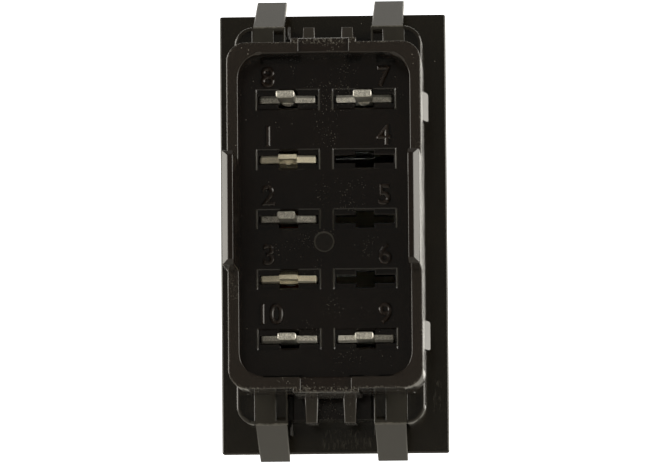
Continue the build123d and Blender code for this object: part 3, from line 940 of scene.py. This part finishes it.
class SWITCH_OT_base(Operator):
    """Base housing with its collar, ears, terminal places and numbers"""

    bl_idname = "switch.base"
    bl_label = "Base housing"

    def execute(self, context):
        edges = settings("edges")
        black = settings("plastics").base_black
        figure_lightening = 2.7  # how much paler the figures are painted, standing in for the light that their slopes catch
        polyester = moulded_plastic(
            "moulded_black_polyester",
            black,
            roughness=0.16,
            dusty=0.48,
            wear_and_highlights=base_wear_and_highlights,
        )
        # The figures' plastic: painted paler to stand in for the light on their slopes, with more dust
        figure_plastic_painted_light = moulded_plastic(
            "figure_polyester_painted_light",
            rgba(black, figure_lightening)[:3],
            roughness=0.25,
            dusty=0.6,
        )
        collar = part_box("base_housing")[1].x - LUG_RISE
        bm = joined("base_housing")
        for radius, keep in (
            (edges.ear, lambda co: co.y > RIM + TINY or level(co, RIM) and abs(co.z) > EAR_END - TINY),
            (edges.rim, lambda co: RIM - RIM_NOTCH < co.y < RIM + TINY),
            (edges.lug, lambda co: abs(co.x) > collar + TINY),
            (edges.rib, on_rib),
            (edges.rib, lambda co: level(co, SILL_REAR) and abs(co.x) > SILL_INNER),
            (edges.mark, on_mark),
        ):
            soften(bm, radius, keep)
        soften(bm, edges.pocket, on_pocket_end, 1)
        lean(bm, FLOOR, edges.pocket, COLUMN, POCKET_HALF)
        soften(bm, edges.keyhole, in_pocket)
        piece = finished(bm, "base_moulding")
        stand_in(piece, "base_housing", polyester)
        self.numbers(figure_plastic_painted_light)
        return {"FINISHED"}

    def numbers(self, figure_plastic_painted_light):
        """The numbers beside the ten places: 8, 1, 2, 3, 10 on the left from behind, and 7, 4, 5, 6, 9."""
        numbers = settings("numbers")
        bm = bmesh.new()
        for side, column in ((1, "8 1 2 3 10"), (-1, "7 4 5 6 9")):
            for place, text in enumerate(column.split()):
                middle = side * (COLUMN + numbers.outward)
                mesh = figure(text, middle, (2 - place) * ROW + numbers.above_row)
                bm.from_mesh(mesh)
                bpy.data.meshes.remove(mesh)
        bmesh.ops.remove_doubles(bm, verts=bm.verts, dist=0.1 * TINY)
        bmesh.ops.recalc_face_normals(bm, faces=bm.faces)
        for face in bm.faces:
            face.smooth = False
        piece = finished(bm, "floor_numbers")
        clothe(piece, figure_plastic_painted_light)
        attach(piece, "switch_body")


class SWITCH_OT_terminals(Operator):
    """Seven stamped terminals, five of them tinned"""

    bl_idname = "switch.terminals"
    bl_label = "Terminals"

    def execute(self, context):
        metals = settings("metals")
        tinned = sheet_metal("tinned_brass_sheet", metals.tin, roughness=0.46, evenness=0.4, painted_shade=keyhole_shade)
        bare = sheet_metal("bare_brass_sheet", metals.brass, roughness=0.62, evenness=0.8, painted_shade=keyhole_shade)
        for number in FILLED:
            node = f"terminal_{number}"
            low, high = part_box(node)
            middle = (low.x + high.x) / 2
            bm = joined(node)
            soften(bm, settings("edges").blade, lambda co: abs(abs(co.x - middle) - BLADE_SIDE) < TINY)
            piece = finished(bm, f"{node}_blade")
            if number in BARE:
                stand_in(piece, node, bare)
            else:
                stand_in(piece, node, tinned)
        return {"FINISHED"}


class SWITCH_OT_rocker(Operator):
    """Rocker cover with its two lenses, and the lever that carries it"""

    bl_idname = "switch.rocker"
    bl_label = "Rocker"

    def execute(self, context):
        cover_black = settings("plastics").cover_black
        black = moulded_plastic("moulded_black_polycarbonate", cover_black, roughness=0.3, dusty=0.3)
        clear = clear_plastic("moulded_clear_polycarbonate", linear("#e9ecec"), grain=0.5 * MM)
        white = natural_nylon("moulded_natural_nylon")
        clothe(NODES["rocker_cover"], black)
        for name in ("upper_lens", "lower_lens"):
            clothe(NODES[name], clear)
        for name in ("pivot_lever", "plunger"):
            clothe(NODES[name], white)
        return {"FINISHED"}


class SWITCH_OT_mechanism(Operator):
    """Contacts, spring and lamps"""

    bl_idname = "switch.mechanism"
    bl_label = "Mechanism"

    def execute(self, context):
        metals = settings("metals")
        # The copper is darkened as painted shade for the inside of the base
        copper = sheet_metal("copper_strip_painted_shade", metals.copper, roughness=0.45)
        silver = sheet_metal("silver_contact_alloy", metals.silver, roughness=0.35)
        tinned = drawn_wire("tinned_steel_wire", metals.tin)
        epoxy = clear_plastic("cast_clear_epoxy", linear("#e8e6da"), grain=2 * MM)
        clothe(NODES["teeter"], copper)
        self.spring(drawn_wire("spring_steel_wire", metals.steel))
        for number in BARE:
            clothe(NODES[f"moving_contact_{number}"], silver)
            clothe(NODES[f"fixed_contact_{number}"], silver)
        for name in ("upper_lamp", "lower_lamp"):
            clothe(NODES[name], epoxy)
        for number in LAMP_LEADS:
            clothe(NODES[f"lamp_lead_{number}"], tinned)
        return {"FINISHED"}

    def spring(self, wire):
        """The plunger's spring (on the real switch it shortens by as much as the plunger slides into the
        lever's stem), as a merged copy of the imported coil with a mesh of its own.
        """
        coil = finished(merged("plunger_spring"), "plunger_spring_coil")
        stand_in(coil, "plunger_spring", wire)
        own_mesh(coil)


class SWITCH_OT_stage(Operator):
    """Floor, soft boxes, surroundings and camera"""

    bl_idname = "switch.stage"
    bl_label = "Stage"

    def execute(self, context):
        stage = settings("stage")
        context.scene.view_settings.view_transform = "Standard"
        self.floor(stage)
        self.lamps(stage)
        self.surroundings(context, stage)
        self.camera(context, stage)
        return {"FINISHED"}

    def floor(self, stage):
        """A plain floor under the switch"""
        half_width = 3.0
        bm = bmesh.new()
        bmesh.ops.create_grid(bm, x_segments=1, y_segments=1, size=half_width)
        bmesh.ops.translate(bm, verts=bm.verts, vec=(0, 0, -stage.floor_drop))
        ground = finished(bm, "floor")
        clothe(ground, rolled_paint("pale_rolled_paint"))

    def lamps(self, stage):
        """A square soft box on each side"""
        width = 0.7
        aside = 0.55
        behind = 0.12
        for name, side in (("left_box", 1), ("right_box", -1)):
            lamp = bpy.data.lights.new(name, "AREA")
            lamp.shape = "RECTANGLE"
            lamp.size = width
            lamp.size_y = width
            lamp.energy = stage.side_lamps
            lamp.color = linear(STUDIO_WHITE)
            box = bpy.data.objects.new(name, lamp)
            place = Vector((side * aside, behind, 0.0))
            box.location = place
            box.rotation_mode = "QUATERNION"
            box.rotation_quaternion = place.to_track_quat("Z", "Y")
            bpy.context.scene.collection.objects.link(box)

    def surroundings(self, context, stage):
        """Even light from all round, with a white backdrop that the camera sees everywhere"""
        blended = 0.3  # how far either way the far side's level runs over into the near side's
        backdrop_edge = -0.75
        backdrop_full = -0.95
        world = bpy.data.worlds.new("studio")
        context.scene.world = world
        world.use_nodes = True
        tree = world.node_tree
        add = partial(new_node, tree)
        direction = add("TexCoord").node.outputs["Generated"]
        backwards = add("SeparateXYZ", direction).node.outputs["Y"]
        sides = add(
            "MapRange",
            backwards,
            -blended,
            blended,
            stage.far_level,
            stage.near_level,
            interpolation_type="SMOOTHSTEP",
        )
        backdrop = add("MapRange", backwards, backdrop_full, backdrop_edge, stage.backdrop_level, 0.0)
        around = add("Math", sides, backdrop, operation="MAXIMUM")
        seen = add("LightPath").node.outputs["Is Camera Ray"]
        strength = add("Math", seen, around, operation="MAXIMUM")
        tone = add("MixRGB", seen, rgba(linear(STUDIO_WHITE)), rgba(linear("#ffffff")))
        feed(tree.nodes["Background"], Color=tone, Strength=strength)

    def camera(self, context, stage):
        """The camera, placed by its angles round the point that it looks at"""
        aim = Vector((stage.aim[0], RIM, stage.aim[1]))
        look = Vector(
            (
                -math.sin(stage.azimuth) * math.cos(stage.elevation),
                math.cos(stage.azimuth) * math.cos(stage.elevation),
                -math.sin(stage.elevation),
            )
        )
        right = look.cross(Vector((0, 0, 1))).normalized()
        up = right.cross(look)
        right, up = (
            right * math.cos(stage.roll) + up * math.sin(stage.roll),
            up * math.cos(stage.roll) - right * math.sin(stage.roll),
        )
        data = bpy.data.cameras.new("camera")
        data.sensor_width = 36.0
        data.lens = stage.lens
        data.clip_start = 0.05
        data.clip_end = 10.0
        camera = bpy.data.objects.new("camera", data)
        turn = Matrix((right, up, -look)).transposed().to_4x4()
        camera.matrix_world = Matrix.Translation(aim - look * stage.distance) @ turn
        context.scene.collection.objects.link(camera)
        context.scene.camera = camera


class SWITCH_PT_panel(Panel):
    """Lists the pieces of the rocker switch"""

    bl_idname = "SWITCH_PT_panel"
    bl_label = "Rocker Switch"
    bl_space_type = "VIEW_3D"
    bl_region_type = "UI"
    bl_category = "Switch"

    def draw(self, context):
        for operator in OPERATORS:
            self.layout.operator(operator.bl_idname)


GROUPS = {
    "switch_plastics": SwitchPlastics,
    "switch_edges": SwitchEdges,
    "switch_numbers": SwitchNumbers,
    "switch_metals": SwitchMetals,
    "switch_stage": SwitchStage,
}
OPERATORS = (
    SWITCH_OT_bracket,
    SWITCH_OT_base,
    SWITCH_OT_terminals,
    SWITCH_OT_rocker,
    SWITCH_OT_mechanism,
    SWITCH_OT_stage,
)


def register():
    for group in GROUPS.values():
        bpy.utils.register_class(group)
    for operator in OPERATORS:
        bpy.utils.register_class(operator)
    bpy.utils.register_class(SWITCH_PT_panel)
    for name, group in GROUPS.items():
        setattr(bpy.types.Scene, name, PointerProperty(type=group))


def unregister():
    for name in GROUPS:
        delattr(bpy.types.Scene, name)
    bpy.utils.unregister_class(SWITCH_PT_panel)
    for operator in reversed(OPERATORS):
        bpy.utils.unregister_class(operator)
    for group in reversed(GROUPS.values()):
        bpy.utils.unregister_class(group)


def main():
    register()
    for operator in OPERATORS:
        area, name = operator.bl_idname.split(".")
        getattr(getattr(bpy.ops, area), name)()


if __name__ == "__main__":
    main()
